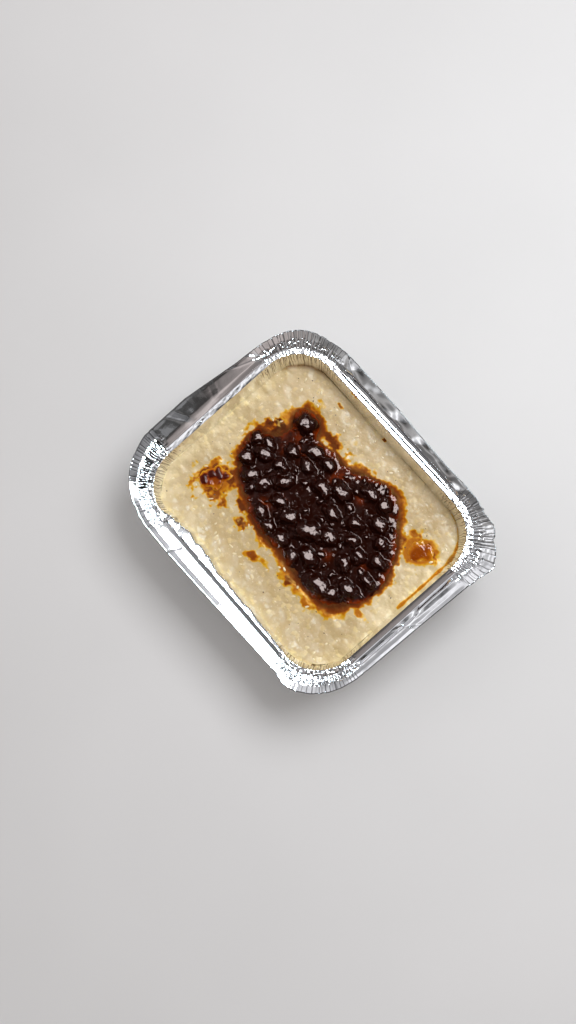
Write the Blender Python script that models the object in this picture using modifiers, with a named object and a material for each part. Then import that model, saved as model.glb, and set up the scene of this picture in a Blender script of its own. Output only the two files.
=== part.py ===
"""Takeaway meal in an opened foil tray: a pale grainy mash with a dark chunky sauce on top.

Metres, +Z up. The origin is the centre of the tray's flat underside. +X runs along the tray.
"""

import math
import random

import bmesh
import bpy
from mathutils import Vector, noise

MM = 0.001
SEED = 7

# Foil tray, a 0.43 litre container
RIM_X = 135 * MM
RIM_Y = 110 * MM
RIM_CORNER = 21.5 * MM
BASE_X = 113 * MM
BASE_Y = 88 * MM
BASE_CORNER = 15.5 * MM
BASE_ROUNDING = 1.2 * MM
LEDGE_Z = 36.5 * MM
LEDGE_WIDTH = 3.1 * MM
FOIL = 0.45 * MM
HEM_DROP = 1.1 * MM
GROW_OUTWARDS = -1
PLEATS_PER_CORNER = 12
PLEAT_DEPTH = 0.55 * MM
LONG_SIDE_STEPS = 9
SHORT_SIDE_STEPS = 7
CORNER_SHARE = 0.4
FLAT = math.radians(0.1)

# Opened flange, by turns round the rim: whole numbers are the corners +x+y, -x+y, -x-y and +x-y.
# Each entry is (turn, reach beyond the ledge in mm, rise above the ledge in mm).
FLANGE = (
    (0.00, 9.6, 3.8), (0.05, 11.0, 3.4), (0.10, 14.0, 2.6), (0.14, 12.6, 2.8), (0.19, 10.8, 3.2),
    (0.245, 10.6, 3.2), (0.28, 7.8, 4.0), (0.35, 6.9, 4.3), (0.50, 6.4, 4.4), (0.62, 6.8, 4.4),
    (0.75, 7.9, 4.0), (0.97, 8.0, 4.0), (1.07, 6.9, 4.2), (1.18, 8.5, 3.8), (1.25, 8.2, 4.0),
    (1.34, 6.9, 4.3), (1.50, 8.0, 4.1), (1.70, 11.1, 3.0), (1.78, 12.4, 2.2), (1.88, 12.4, 1.7),
    (2.02, 12.4, 1.4), (2.07, 11.1, 1.8), (2.15, 9.9, 2.8), (2.31, 7.1, 4.1), (2.50, 7.8, 3.7),
    (2.70, 7.2, 3.3), (2.96, 6.1, 2.8), (3.03, 6.1, 2.9), (3.07, 8.2, 3.6), (3.12, 9.1, 3.6),
    (3.24, 8.3, 3.8), (3.34, 7.3, 4.2), (3.50, 7.8, 4.1), (3.75, 8.5, 3.8), (4.00, 9.5, 3.8),
)

# Mash
MASH_DEPTH = 9.3 * MM
MASH_SLOPE_Y = -0.022
GAP = 0.3 * MM
MASH_STEP = 2.8 * MM
LUMP_SIZE = 5.0 * MM
LUMP_HEIGHT = 1.1 * MM
SWELL_SIZE = 24 * MM
SWELL_HEIGHT = 1.0 * MM
SMEAR_WIDTH = 6.0 * MM
SMEAR_HEIGHT = 2.2 * MM
FLAT_MARGIN = 3.2 * MM

# Sauce outlines on the mash, in mm
POOL = (
    (-40.5, 32.5), (-33, 34.5), (-28, 32), (-25, 27), (-19, 27.5), (-11, 29), (-4, 28.5), (4, 32.5),
    (12, 36), (21, 37.5), (29, 33.5), (37.5, 26), (44.5, 18.5), (49, 10), (52, 2), (51.5, -7), (48, -15.5),
    (42, -24), (35, -26), (26, -26.5), (16, -26), (8, -24), (-1, -24.5), (-9, -25.5), (-17, -23.5),
    (-25, -19.5), (-33, -17), (-41.5, -11.5), (-46.5, -5), (-49.5, 3), (-48.5, 9), (-41.5, 12),
    (-38.5, 20), (-41, 26),
)
LEFT_SPLASH = ((-50.5, -22), (-51, -28), (-46, -31.5), (-39, -27.5), (-38.5, -19.5), (-44, -17.5))
RIGHT_SPLASH = ((43.5, 27.5), (47.5, 20.5), (53.5, 22), (57.5, 29), (52.5, 34.5), (46.5, 31.5))

# Large chunks in the sauce: (x, y, half length, half width) in mm, and degrees from the X axis
CHUNKS = (
    (-34.5, 29.2, 4.6, 3.4, 0), (-45.5, 5.5, 3.0, 2.2, -18), (-38.5, 8.3, 3.8, 2.1, 7),
    (-35.5, 3.5, 4.0, 2.6, 5), (-41.5, -4.5, 3.4, 2.4, 10), (-33.0, -8.5, 3.8, 2.8, 30),
    (-19.5, 22.5, 4.8, 2.6, 11), (-10.5, 23.0, 3.6, 2.5, 0), (-18.8, 15.0, 4.4, 2.1, -10),
    (-26.0, -7.0, 3.6, 2.6, 49), (-18.5, 1.5, 4.6, 3.0, 49), (-4.0, 13.0, 4.6, 3.0, -3),
    (4.5, 18.8, 4.8, 3.2, 1), (-12.9, -7.0, 4.0, 2.4, 7), (14.1, 29.0, 4.8, 3.0, 10),
    (23.5, 30.0, 3.8, 2.8, -20), (-16.0, -17.5, 4.0, 2.6, 0), (-8.0, -19.5, 3.2, 2.4, -10),
    (-4.0, -8.5, 4.2, 3.0, 25), (7.0, -6.5, 6.0, 3.8, 38), (16.5, -0.5, 5.0, 3.2, 38),
    (9.5, 8.5, 4.2, 2.6, -3), (20.5, 14.0, 4.0, 2.6, 20), (25.5, 6.5, 3.6, 2.6, 10),
    (1.9, -18.6, 3.8, 2.8, 10), (17.3, -14.5, 4.4, 3.0, 2), (31.5, -3.5, 3.8, 2.4, -36),
    (42.5, 9.0, 4.4, 2.8, 12), (30.5, -20.0, 5.2, 3.2, 4), (42.0, -10.7, 4.6, 3.0, 14),
    (37.5, -18.0, 3.6, 2.4, 36), (45.5, -1.0, 3.6, 2.4, 10), (11.0, -20.5, 3.4, 2.4, 0),
    (36.0, 16.5, 3.8, 2.6, 5), (28.0, 21.8, 4.2, 2.8, 15), (-27.6, 14.0, 3.6, 2.6, 20),
    (-27.0, 5.0, 3.4, 2.4, 0), (33.5, 4.5, 3.4, 2.6, 20),
)

# Sauce body, its chunks and its small lumps
SAUCE_STEP = 4.5 * MM
EDGE_THICKNESS = 0.9 * MM
SAUCE_THICKNESS = 2.0 * MM
SHOULDER = 4.5 * MM
CHUNK_HEIGHT_SHARE = 0.75
SMALL_LUMPS = 12
SMALL_LUMP_RADIUS = (1.4 * MM, 2.0 * MM)
BEAD_RADIUS = (1.0 * MM, 1.7 * MM)


def material(name, colour, roughness, metallic=0.0):
    """A Principled material with one colour."""
    made = bpy.data.materials.new(name)
    made.use_nodes = True
    shader = made.node_tree.nodes["Principled BSDF"]
    shader.inputs["Base Color"].default_value = (*colour, 1)
    shader.inputs["Roughness"].default_value = roughness
    shader.inputs["Metallic"].default_value = metallic
    return made


def object_from(bm, name, collection):
    """Closes a bmesh into a named object."""
    bmesh.ops.recalc_face_normals(bm, faces=bm.faces)
    mesh = bpy.data.meshes.new(name)
    bm.to_mesh(mesh)
    bm.free()
    made = bpy.data.objects.new(name, mesh)
    collection.objects.link(made)
    return made


def collection_named(name):
    made = bpy.data.collections.new(name)
    bpy.context.scene.collection.children.link(made)
    return made


def apply_modifiers(obj):
    """Replaces an object's mesh by what its modifiers make of it, and drops the modifiers."""
    bpy.context.view_layer.update()
    evaluated = obj.evaluated_get(bpy.context.evaluated_depsgraph_get())
    mesh = bpy.data.meshes.new_from_object(evaluated)
    obj.modifiers.clear()
    obj.data = mesh


# Rim stations: (turn, corner signs, outward angle, next corner's signs, share of the side)
def rim_stations():
    """Walks anticlockwise round a rounded rectangle, corner by corner and side by side."""
    signs = ((1, 1), (-1, 1), (-1, -1), (1, -1))
    side_steps = (LONG_SIDE_STEPS, SHORT_SIDE_STEPS, LONG_SIDE_STEPS, SHORT_SIDE_STEPS)
    corner_steps = 2 * PLEATS_PER_CORNER
    stations = []
    for i, here in enumerate(signs):
        following = signs[(i + 1) % 4]
        start = math.radians(90 * i)
        for k in range(corner_steps + 1):
            share = k / corner_steps
            stations.append((i + CORNER_SHARE * share, here, start + share * math.pi / 2, here, 0.0))
        for k in range(1, side_steps[i]):
            share = k / side_steps[i]
            turn = i + CORNER_SHARE + (1 - CORNER_SHARE) * share
            stations.append((turn, here, start + math.pi / 2, following, share))
    return stations


def rim_point(station, half_x, half_y, corner):
    """The station's place on a rounded rectangle of these half sides and corner radius."""
    _, here, angle, following, share = station
    out = Vector((math.cos(angle), math.sin(angle)))
    first = Vector((here[0] * (half_x - corner), here[1] * (half_y - corner)))
    second = Vector((following[0] * (half_x - corner), following[1] * (half_y - corner)))
    return first.lerp(second, share) + out * corner


def corner_weight(station):
    """1 in the middle of a corner, falling to 0 where the straight side starts."""
    share = (station[0] % 1) / CORNER_SHARE
    return min(1.0, 3 * (1 - abs(2 * share - 1))) if share <= 1 else 0.0


def flange_at(turn):
    """Reach and rise of the opened flange at this turn round the rim, in metres."""
    for first, second in zip(FLANGE, FLANGE[1:]):
        if turn <= second[0]:
            share = (turn - first[0]) / (second[0] - first[0])
            break
    return tuple((a + (b - a) * share) * MM for a, b in zip(first[1:], second[1:]))


def wall_sizes(z):
    """Half sides and corner radius of the tray's inside at this height."""
    share = (z - FOIL) / (LEDGE_Z - FOIL)
    half_x = (BASE_X + (RIM_X - BASE_X) * share) / 2
    half_y = (BASE_Y + (RIM_Y - BASE_Y) * share) / 2
    return half_x, half_y, BASE_CORNER + (RIM_CORNER - BASE_CORNER) * share


def foot_sizes():
    """The inner floor's edge, drawn in to round the foot of the wall."""
    return tuple(size - BASE_ROUNDING for size in wall_sizes(FOIL))


def wall_rings():
    """(height, half sides and corner radius, pleat share) up the tray's inside."""
    foot_z = FOIL + BASE_ROUNDING
    rings = [(FOIL, foot_sizes(), 0.0), (foot_z, wall_sizes(foot_z), 0.0)]
    for share, pleat in ((0.5, 0.35), (0.82, 0.8), (1.0, 0.5)):
        z = foot_z + (LEDGE_Z - foot_z) * share
        rings.append((z, wall_sizes(z), pleat))
    return rings


def tray_ring_points(station, index):
    """The tray's inner surface at one station, from the floor out to the hem."""
    angle = station[2]
    out = Vector((math.cos(angle), math.sin(angle)))
    side = 1 if index % 2 else 0
    pleat = PLEAT_DEPTH * corner_weight(station)
    points = []
    for z, sizes, share in wall_rings():
        points.append((rim_point(station, *sizes) + out * pleat * share * side).to_3d() + Vector((0, 0, z)))
    rim = rim_point(station, *wall_sizes(LEDGE_Z))
    reach, rise = flange_at(station[0])
    profile = (
        (LEDGE_WIDTH, 0.0, 0.4),
        (LEDGE_WIDTH + 0.32 * reach, 0.52 * rise, 1.0),
        (LEDGE_WIDTH + 0.93 * reach, rise, 1.4),
        (LEDGE_WIDTH + reach, rise - 0.3 * HEM_DROP, 1.4),
        (LEDGE_WIDTH + reach, rise - HEM_DROP, 1.4),
    )
    for offset, height, share in profile:
        wave = pleat * share * (side - 0.5)
        flat = rim + out * (offset + wave)
        points.append(Vector((flat.x, flat.y, LEDGE_Z + height + wave)))
    return points


def build_tray(collection):
    """The foil as one lofted surface, thickened outwards."""
    bm = bmesh.new()
    columns = [
        [bm.verts.new(point) for point in tray_ring_points(station, index)]
        for index, station in enumerate(rim_stations())
    ]
    for column, following in zip(columns, columns[1:] + columns[:1]):
        for low in range(len(column) - 1):
            bm.faces.new((column[low], following[low], following[low + 1], column[low + 1]))
    bm.faces.new([column[0] for column in columns])
    tray = object_from(bm, "foil_tray", collection)
    solidify = tray.modifiers.new("foil", "SOLIDIFY")
    solidify.thickness = FOIL
    solidify.offset = GROW_OUTWARDS
    solidify.use_even_offset = True
    tray.data.materials.append(material("foil", (0.82, 0.83, 0.85), 0.26, 1.0))
    return tray


# Sauce outlines
def smooth_outline(control_mm, steps=4):
    """A closed Catmull-Rom curve through the control points, in metres."""
    points = [Vector(point) * MM for point in control_mm]
    count = len(points)
    curve = []
    for i in range(count):
        a, b, c, d = (points[(i + k - 1) % count] for k in range(4))
        for k in range(steps):
            t = k / steps
            curve.append(
                0.5 * (2 * b + (c - a) * t + (2 * a - 5 * b + 4 * c - d) * t**2 + (3 * b - a - 3 * c + d) * t**3)
            )
    return curve


def depth_inside(x, y, outline):
    """Distance to a closed outline, positive inside it and negative outside."""
    here = Vector((x, y))
    nearest = math.inf
    inside = False
    for a, b in zip(outline, outline[1:] + outline[:1]):
        along = b - a
        share = max(0.0, min(1.0, (here - a).dot(along) / along.length_squared))
        nearest = min(nearest, (a + along * share - here).length)
        if (a.y > y) != (b.y > y) and x < a.x + (y - a.y) * along.x / along.y:
            inside = not inside
    return nearest if inside else -nearest


def smoothstep(value):
    value = max(0.0, min(1.0, value))
    return value * value * (3 - 2 * value)


def mash_level(y):
    """Height of the mash without its lumps. It lies a little higher at the -Y side."""
    return LEDGE_Z - MASH_DEPTH + MASH_SLOPE_Y * y


def mash_height(x, y, outlines):
    """Lumpy top of the mash, level under the sauce and smeared up the -Y wall."""
    nearest = max(depth_inside(x, y, outline) for outline in outlines)
    free = smoothstep(-nearest / FLAT_MARGIN - 0.35)
    place = Vector((x, y, SEED * LUMP_SIZE))
    relief = LUMP_HEIGHT * noise.noise(place / LUMP_SIZE) + SWELL_HEIGHT * noise.noise(place / SWELL_SIZE)
    wall = RIM_Y / 2 - MASH_DEPTH * (RIM_Y - BASE_Y) / 2 / LEDGE_Z
    smear = SMEAR_HEIGHT * smoothstep((-y - wall) / SMEAR_WIDTH + 1)
    return mash_level(y) + free * relief + smear


def block_between(name, collection, size_x, size_y, centre, step, top, bottom):
    """A closed block on a grid, with its top and bottom given as functions of x and y."""
    bm = bmesh.new()
    steps_x = round(size_x / step)
    steps_y = round(size_y / step)
    bmesh.ops.create_grid(bm, x_segments=steps_x, y_segments=steps_y, size=0.5)
    for vert in bm.verts:
        vert.co = Vector((centre[0] + vert.co.x * size_x, centre[1] + vert.co.y * size_y, 0))
    sheet = list(bm.faces)
    lifted = bmesh.ops.extrude_face_region(bm, geom=sheet)["geom"]
    upper = {item for item in lifted if isinstance(item, bmesh.types.BMVert)}
    for vert in bm.verts:
        height = top if vert in upper else bottom
        vert.co.z = height(vert.co.x, vert.co.y)
    return object_from(bm, name, collection)


def merge_flat_faces(obj):
    """Merges neighbouring faces that lie in one plane."""
    bm = bmesh.new()
    bm.from_mesh(obj.data)
    bmesh.ops.dissolve_limit(bm, angle_limit=FLAT, verts=bm.verts, edges=bm.edges)
    bm.to_mesh(obj.data)
    bm.free()


def boolean(obj, operation, other):
    modifier = obj.modifiers.new(operation.lower(), "BOOLEAN")
    modifier.operation = operation
    modifier.object = other
    modifier.solver = "EXACT"


def discard(*objects):
    for obj in objects:
        bpy.data.objects.remove(obj)


def build_mash(collection, tools, outlines):
    """The mash: the tray's inside, drawn in by the gap, under the lumpy top."""
    bm = bmesh.new()
    rings = []
    for z, sizes, _ in wall_rings():
        sizes = tuple(size - GAP for size in sizes)
        lift = GAP if z == FOIL else 0.0
        rings.append([
            bm.verts.new(rim_point(station, *sizes).to_3d() + Vector((0, 0, z + lift)))
            for station in rim_stations()[::2]
        ])
    for low, high in zip(rings, rings[1:]):
        for k in range(len(low)):
            following = (k + 1) % len(low)
            bm.faces.new((low[k], low[following], high[following], high[k]))
    bm.faces.new(rings[0])
    bm.faces.new(rings[-1])
    mash = object_from(bm, "creamy_mash", collection)
    block = block_between(
        "mash_top", tools, RIM_X, RIM_Y, (0, 0), MASH_STEP,
        lambda x, y: mash_height(x, y, outlines), lambda x, y: -BASE_ROUNDING,
    )
    boolean(mash, "INTERSECT", block)
    apply_modifiers(mash)
    discard(block)
    merge_flat_faces(mash)
    mash.data.materials.clear()
    mash.data.materials.append(material("mash", (0.62, 0.47, 0.27), 0.45))
    return mash


def outline_prism(name, collection, outline):
    """A tall prism with the outline's plan, for cutting a block to shape."""
    bm = bmesh.new()
    low = bm.faces.new([bm.verts.new((point.x, point.y, 0)) for point in outline])
    lifted = bmesh.ops.extrude_face_region(bm, geom=[low])["geom"]
    for item in lifted:
        if isinstance(item, bmesh.types.BMVert):
            item.co.z = 2 * LEDGE_Z
    return object_from(bm, name, collection)


def squashed_ball(name, collection, centre, halves, turn):
    """A faceted ellipsoid, with more facets where it is large."""
    bm = bmesh.new()
    large = halves[0] > SMALL_LUMP_RADIUS[1] * 1.2
    bmesh.ops.create_icosphere(bm, subdivisions=2 if large else 1, radius=1)
    cosine, sine = math.cos(turn), math.sin(turn)
    for vert in bm.verts:
        x, y, z = (vert.co[i] * halves[i] for i in range(3))
        vert.co = Vector(centre) + Vector((x * cosine - y * sine, x * sine + y * cosine, z))
    return object_from(bm, name, collection)


def sauce_floor(y):
    return mash_level(y) + GAP


def sauce_thickness(x, y, outline, full):
    """Thin at the outline, and full from the shoulder inwards."""
    depth = depth_inside(x, y, outline)
    return EDGE_THICKNESS + (full - EDGE_THICKNESS) * smoothstep(depth / SHOULDER)


def build_sauce(name, collection, tools, outline, full, pieces, finish):
    """A pool with this outline and full thickness, with the pieces fused on."""
    xs = [point.x for point in outline]
    ys = [point.y for point in outline]
    centre = ((min(xs) + max(xs)) / 2, (min(ys) + max(ys)) / 2)
    size_x, size_y = max(xs) - min(xs) + SAUCE_STEP, max(ys) - min(ys) + SAUCE_STEP
    step = min(SAUCE_STEP, size_x / 6)
    sauce = block_between(
        name, collection, size_x, size_y, centre, step,
        lambda x, y: sauce_floor(y) + sauce_thickness(x, y, outline, full),
        lambda x, y: sauce_floor(y),
    )
    prism = outline_prism(name + "_plan", tools, outline)
    boolean(sauce, "INTERSECT", prism)
    apply_modifiers(sauce)
    merge_flat_faces(sauce)
    discard(prism)
    heap = collection_named(name + "_pieces")
    for index, (centre, halves, turn) in enumerate(pieces):
        squashed_ball(f"{name}_piece_{index}", heap, centre, halves, turn)
    union = sauce.modifiers.new("fuse", "BOOLEAN")
    union.operation = "UNION"
    union.operand_type = "COLLECTION"
    union.collection = heap
    union.solver = "EXACT"
    apply_modifiers(sauce)
    discard(*heap.objects)
    bpy.data.collections.remove(heap)
    merge_flat_faces(sauce)
    sauce.data.materials.clear()
    sauce.data.materials.append(finish)
    return sauce


def large_chunks():
    """(centre, half sizes, turn) of the large chunks, resting on the mash."""
    chunks = []
    for x, y, half_length, half_width, degrees in CHUNKS:
        halves = (half_length * MM, half_width * MM, CHUNK_HEIGHT_SHARE * half_width * MM)
        centre = (x * MM, y * MM, sauce_floor(y * MM) + halves[2] + GAP)
        chunks.append((centre, halves, math.radians(degrees)))
    return chunks


def small_lumps(outline):
    """(centre, half sizes, turn) of small lumps in the widest gaps between the chunks."""
    rng = random.Random(SEED)
    taken = [Vector((x, y)) * MM for x, y, *_ in CHUNKS]
    lumps = []
    for _ in range(SMALL_LUMPS):
        draws = [Vector((rng.uniform(-50, 52), rng.uniform(-27, 38))) * MM for _ in range(60)]
        draws = [spot for spot in draws if depth_inside(spot.x, spot.y, outline) > SHOULDER / 2]
        spot = max(draws, key=lambda draw: min((draw - other).length for other in taken))
        taken.append(spot)
        radius = rng.uniform(*SMALL_LUMP_RADIUS)
        centre = (spot.x, spot.y, sauce_floor(spot.y) + radius + GAP)
        lumps.append((centre, (1.2 * radius, radius, 0.9 * radius), rng.uniform(0, math.pi)))
    return lumps


def splash_beads(outline, count, seed):
    """Small round lumps in a splash."""
    rng = random.Random(seed)
    middle = sum(outline, Vector((0, 0))) / len(outline)
    beads = []
    for k in range(count):
        towards = outline[(k * len(outline)) // count]
        spot = middle.lerp(towards, rng.uniform(0.3, 0.6))
        radius = rng.uniform(*BEAD_RADIUS)
        height = radius + GAP
        beads.append(((spot.x, spot.y, sauce_floor(spot.y) + height), (radius, 0.85 * radius, 0.9 * radius), k))
    return beads


def main():
    for obj in list(bpy.data.objects):
        bpy.data.objects.remove(obj)
    meal = collection_named("foil_tray_meal")
    tools = collection_named("cutters")
    pool, left, right = (smooth_outline(shape) for shape in (POOL, LEFT_SPLASH, RIGHT_SPLASH))
    build_tray(meal)
    build_mash(meal, tools, (pool, left, right))
    dark = material("dark_sauce", (0.022, 0.005, 0.003), 0.12)
    brown = material("brown_sauce", (0.20, 0.035, 0.006), 0.18)
    lumps = large_chunks() + small_lumps(pool)
    build_sauce("dark_sauce", meal, tools, pool, SAUCE_THICKNESS, lumps, dark)
    thin = 0.6 * SAUCE_THICKNESS
    build_sauce("sauce_splash_left", meal, tools, left, thin, splash_beads(left, 6, SEED), brown)
    build_sauce("sauce_splash_right", meal, tools, right, thin, splash_beads(right, 7, SEED + 1), brown)


main()
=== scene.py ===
"""Takeaway meal in an opened foil tray, dressed for a studio picture. Metres, +Z up, +X along the tray."""

import math
from types import SimpleNamespace

import bmesh
import bpy
import numpy as np
from mathutils import Matrix, Vector, noise


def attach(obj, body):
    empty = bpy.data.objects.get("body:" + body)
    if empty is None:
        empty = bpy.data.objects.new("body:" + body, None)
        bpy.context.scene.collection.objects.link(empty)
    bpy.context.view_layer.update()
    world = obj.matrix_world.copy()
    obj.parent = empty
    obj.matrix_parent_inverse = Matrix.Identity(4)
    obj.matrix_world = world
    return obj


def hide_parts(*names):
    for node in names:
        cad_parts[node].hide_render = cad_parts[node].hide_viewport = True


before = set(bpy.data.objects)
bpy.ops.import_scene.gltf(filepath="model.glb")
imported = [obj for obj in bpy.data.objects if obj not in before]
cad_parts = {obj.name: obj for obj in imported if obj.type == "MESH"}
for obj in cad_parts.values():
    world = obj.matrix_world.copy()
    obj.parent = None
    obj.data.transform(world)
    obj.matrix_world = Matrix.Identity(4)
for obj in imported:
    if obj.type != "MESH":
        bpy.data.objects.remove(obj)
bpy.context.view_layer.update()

MM = 0.001
SEED = 7

# Foil tray, a 0.43 litre container
RIM_X = 135 * MM
RIM_Y = 110 * MM
RIM_CORNER = 21.5 * MM
BASE_X = 113 * MM
BASE_Y = 88 * MM
BASE_CORNER = 15.5 * MM
BASE_ROUNDING = 1.2 * MM
LEDGE_Z = 36.5 * MM
LEDGE_WIDTH = 3.1 * MM
FOIL = 0.45 * MM
# Each corner takes this share of its turn, and the side after it the rest
CORNER_SHARE = 0.4

# Opened flange, by turns round the rim: whole numbers are the corners +x+y, -x+y, -x-y and +x-y.
# Each entry is (turn, reach beyond the ledge in mm, rise above the ledge in mm).
FLANGE = (
    (0.00, 9.6, 3.8), (0.05, 11.0, 3.4), (0.10, 14.0, 2.6), (0.14, 12.6, 2.8), (0.19, 10.8, 3.2),
    (0.245, 10.6, 3.2), (0.28, 7.8, 4.0), (0.35, 6.9, 4.3), (0.50, 6.4, 4.4), (0.62, 6.8, 4.4),
    (0.75, 7.9, 4.0), (0.97, 8.0, 4.0), (1.07, 6.9, 4.2), (1.18, 8.5, 3.8), (1.25, 8.2, 4.0),
    (1.34, 6.9, 4.3), (1.50, 8.0, 4.1), (1.70, 11.1, 3.0), (1.78, 12.4, 2.2), (1.88, 12.4, 1.7),
    (2.02, 12.4, 1.4), (2.07, 11.1, 1.8), (2.15, 9.9, 2.8), (2.31, 7.1, 4.1), (2.50, 7.8, 3.7),
    (2.70, 7.2, 3.3), (2.96, 6.1, 2.8), (3.03, 6.1, 2.9), (3.07, 8.2, 3.6), (3.12, 9.1, 3.6),
    (3.24, 8.3, 3.8), (3.34, 7.3, 4.2), (3.50, 7.8, 4.1), (3.75, 8.5, 3.8), (4.00, 9.5, 3.8),
)
# Sections of the flange, from the ledge to its edge, as shares of the reach and of the rise
FLANGE_SECTION = ((0, 0), (0.035, 0.12), (0.27, 0.44), (0.31, 0.5), (0.6, 0.72), (0.85, 0.93), (1, 1))
# In the corners, and in the flatter -X -Y corner
CORNER_SECTION = ((0, 0), (0.08, 0.06), (0.42, 0.32), (0.52, 0.5), (1, 1))
LOW_CORNER_SECTION = ((0, 0), (0.08, 0.06), (0.42, 0.5), (0.52, 0.8), (1, 0.95))
# On the +Y side, on the -Y side, on the +X side, and on the flatter half of the +X side
FAR_SECTION = ((0, 0), (0.13, -0.02), (0.2, 0.15), (0.33, 0.5), (0.6, 0.68), (1, 0.93))
NEAR_SECTION = ((0, 0), (0.6, 0.48), (1, 1))
STEPPED_SECTION = ((0, 0), (0.035, 0.1), (0.3, 0.62), (0.56, 0.65), (0.8, 0.92), (1, 1))
FLAT_SECTION = ((0, 0), (0.03, 0.03), (0.32, 0.07), (0.42, 0.42), (0.56, 0.5), (0.8, 0.85), (1, 1))
# Stretches of the rim: turns where each starts and ends, and how many turns the start and the end take
FAR_SIDE = (0.42, 0.98, 0.05, 0.05)
LOW_CORNER = (1.95, 2.27, 0.05, 0.1)
NEAR_SIDE = (2.2, 3.2, 0.3, 0.3)
STEPPED_SIDE = (3.3, 4.02, 0.1, 0.12)
FLAT_HALF = (3.35, 3.8, 0.1, 0.1)
# Places on the rim: middle and half width in turns
SPLAYED_CORNER = (0.17, 0.14)
SLIT_CORNER = (1.2, 0.2)
CRIMPED_SIDE = (1.65, 0.28)
# The -Y flange rises a little less than the rest, and past this turn it has no bend
NEAR_RISE = 0.88
NEAR_BEND_END = 2.95
# No fold stands higher above the ledge
HIGHEST_FOLD = 4.4 * MM
# How strongly each stretch of the flange is dented and creased: (turn, dents, creases)
WEAR = (
    (0.0, 0.5, 1.0), (0.35, 0.6, 0.4), (0.5, 1.0, 0.25), (0.9, 1.0, 0.25), (1.1, 0.3, 0.7), (1.4, 0.2, 0.4),
    (1.9, 0.35, 0.5), (2.1, 0.3, 0.6), (2.4, 0.25, 0.2), (2.9, 0.25, 0.2), (3.1, 0.3, 0.6), (3.4, 0.6, 1.0),
    (4.0, 0.5, 1.0),
)
# The ledge drops outwards in a soft curve, which ends within this share of the flange
LEDGE_DROP = 0.48 * MM
DROP_FADE = 0.25
# The -Y wall is pushed in below a soft shoulder: (x in mm, how far it is pushed in, in mm)
PUSHED_IN = (
    (-54, 0.0), (-45, 1.6), (-36, 3.2), (-20, 3.0), (-8, 1.7), (6, 1.2), (25, 0.9), (42, 0.3), (50, 0.0),
)
PUSHED_WAVES = ((0.2, 6.5 * MM, 34), (0.22, 1.9 * MM, 35))
PUSHED_HEIGHT = 9 * MM
PUSHED_FADE = 8 * MM
SHOULDER_LEAN = 1.3 * MM
SHOULDER_SLOPE = 0.40
SHOULDER_EDGE = 0.2 * MM
# Sharp folds across the flange: (turn at the ledge, turn at the edge, height in mm, width in mm)
FLANGE_FOLDS = (
    (1.66, 1.63, 0.12, 0.5), (1.69, 1.655, -0.12, 0.8), (1.83, 1.90, 0.35, 1.2), (1.80, 1.86, -0.2, 1.0),
    (1.34, 1.56, 0.30, 0.7), (1.36, 1.46, 0.35, 0.6), (0.95, 0.975, -0.6, 1.3), (0.90, 0.985, 0.45, 1.2),
    (3.66, 3.70, 0.5, 1.0), (3.62, 3.74, -0.35, 0.8), (0.44, 0.40, 0.6, 1.5), (0.47, 0.45, -0.5, 1.2),
    (2.52, 2.50, -0.35, 0.5),
)
# Waves across the +Y flange. Layers of a random field are (height, size, seed).
FAR_WAVES = ((1.5 * MM, 8.5 * MM, 39), (0.6 * MM, 4.08 * MM, 40))
# The flange's edge is rolled over, and its underside lies this far below its top
HEM_RADIUS = 0.42 * MM
SKIN = 0.22 * MM

# Folds in the foil
PLEAT_PITCH = 1.2 * MM
RING_PITCH = 0.9 * PLEAT_PITCH
TOOTH_PITCH = 1.1 * PLEAT_PITCH
BROAD_PITCH = 2.3 * PLEAT_PITCH
PLEAT_FADE = 5 * MM
PLEAT_WANDER = 1.8 * MM
SLIT_WIDTH = 0.16 * MM
WALL_PLEAT = 0.34 * MM
WALL_FOLDS_FROM = 20 * MM
WALL_WAVE = 0.16 * MM
WALL_WAVE_LENGTH = 6 * MM
WRINKLE_LENGTH = 8.5 * MM
WRINKLE_WIDTH = 0.5 * MM
WRINKLE_FADE = 12 * MM
LEDGE_CRIMP = 0.30 * MM
SLANTED_FOLD = 3.0 * MM
RIDGE_SIZE = 1.25 * MM
INNER_CRIMP = 0.34 * MM
OUTER_SLIT = 0.24 * MM
OUTER_SLIT_WIDTH = 0.3 * MM
TOOTH = 1.0 * MM
# Ribs along the ledge: height, and place and width as shares of the ledge
NEAR_RIB = (0.05 * MM, 0.55, 0.1)
NEAR_RIB_LENGTH = 9 * MM
FAR_RIB = (0.15 * MM, 0.8, 0.13)
# Painted shade: dark foil in the lowest share of its folds, along the +Y ledge's crease (place, width) and on
# the hem
SHADED_FOLD = 0.5
FAR_CREASE = (0.8, 0.12)
HEM_SHADE = 0.56
FOIL_TONES = ((0.3, (0.84, 0.845, 0.86)), (0.7, (0.92, 0.925, 0.94)))
# The crimped ring is rougher in the -Y corners: (turn, share)
ROUGHNESS = ((0, 1.1), (1.4, 1.1), (1.9, 1.4), (3.45, 1.4), (3.6, 1.1), (4, 1.1))
DENT_SIZE = 15 * MM
DENT_DEPTH = 0.4 * MM
CREASE_SIZE = 8 * MM
CREASE_DEPTH = 0.30 * MM
CORNER_STEPS = 210
LONG_STEPS = 170
SHORT_STEPS = 124

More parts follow.
